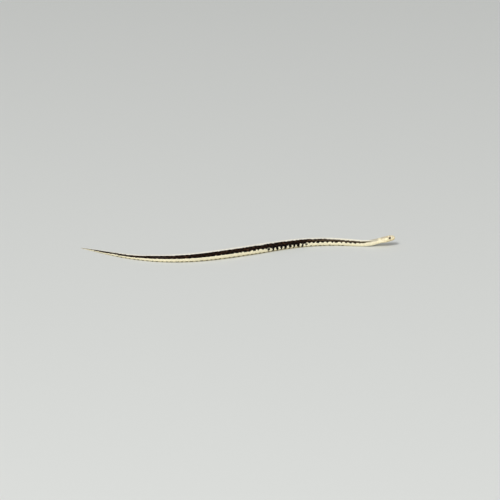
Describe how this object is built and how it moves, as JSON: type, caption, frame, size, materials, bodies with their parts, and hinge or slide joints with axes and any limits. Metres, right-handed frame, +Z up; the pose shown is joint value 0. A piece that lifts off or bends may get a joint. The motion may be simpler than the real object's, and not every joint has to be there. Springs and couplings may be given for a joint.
{
  "type": "garter snake",
  "caption": "Life-size young garter snake gliding with its head raised: long striped body in one gentle wave, shields on the head, broad scutes under the belly.",
  "frame": {"origin": "middle of the footprint's box, on the floor that the belly lies on", "axes": "+X towards the snout, +Y to the snake's left, +Z up"},
  "size_m": [0.3152, 0.063, 0.0117],
  "materials": {
    "head_skin": "wet smooth shields, pale sand above and cream on the lips",
    "jaw_skin": "wet smooth shields, pale cream",
    "eye": "clear scale over a brown iris with a gold ring and a round black pupil",
    "body_skin": "wet keeled scales, near-black brown with cream stripes"
  },
  "bodies": {
    "root": {"head": "head_skin", "lower_jaw": "jaw_skin", "eye_left": "eye", "eye_right": "eye", "neck": "body_skin", "body_1": "body_skin", "body_2": "body_skin", "body_3": "body_skin", "body_4": "body_skin", "tail_1": "body_skin", "tail_2": "body_skin"}
  },
  "joints": []
}
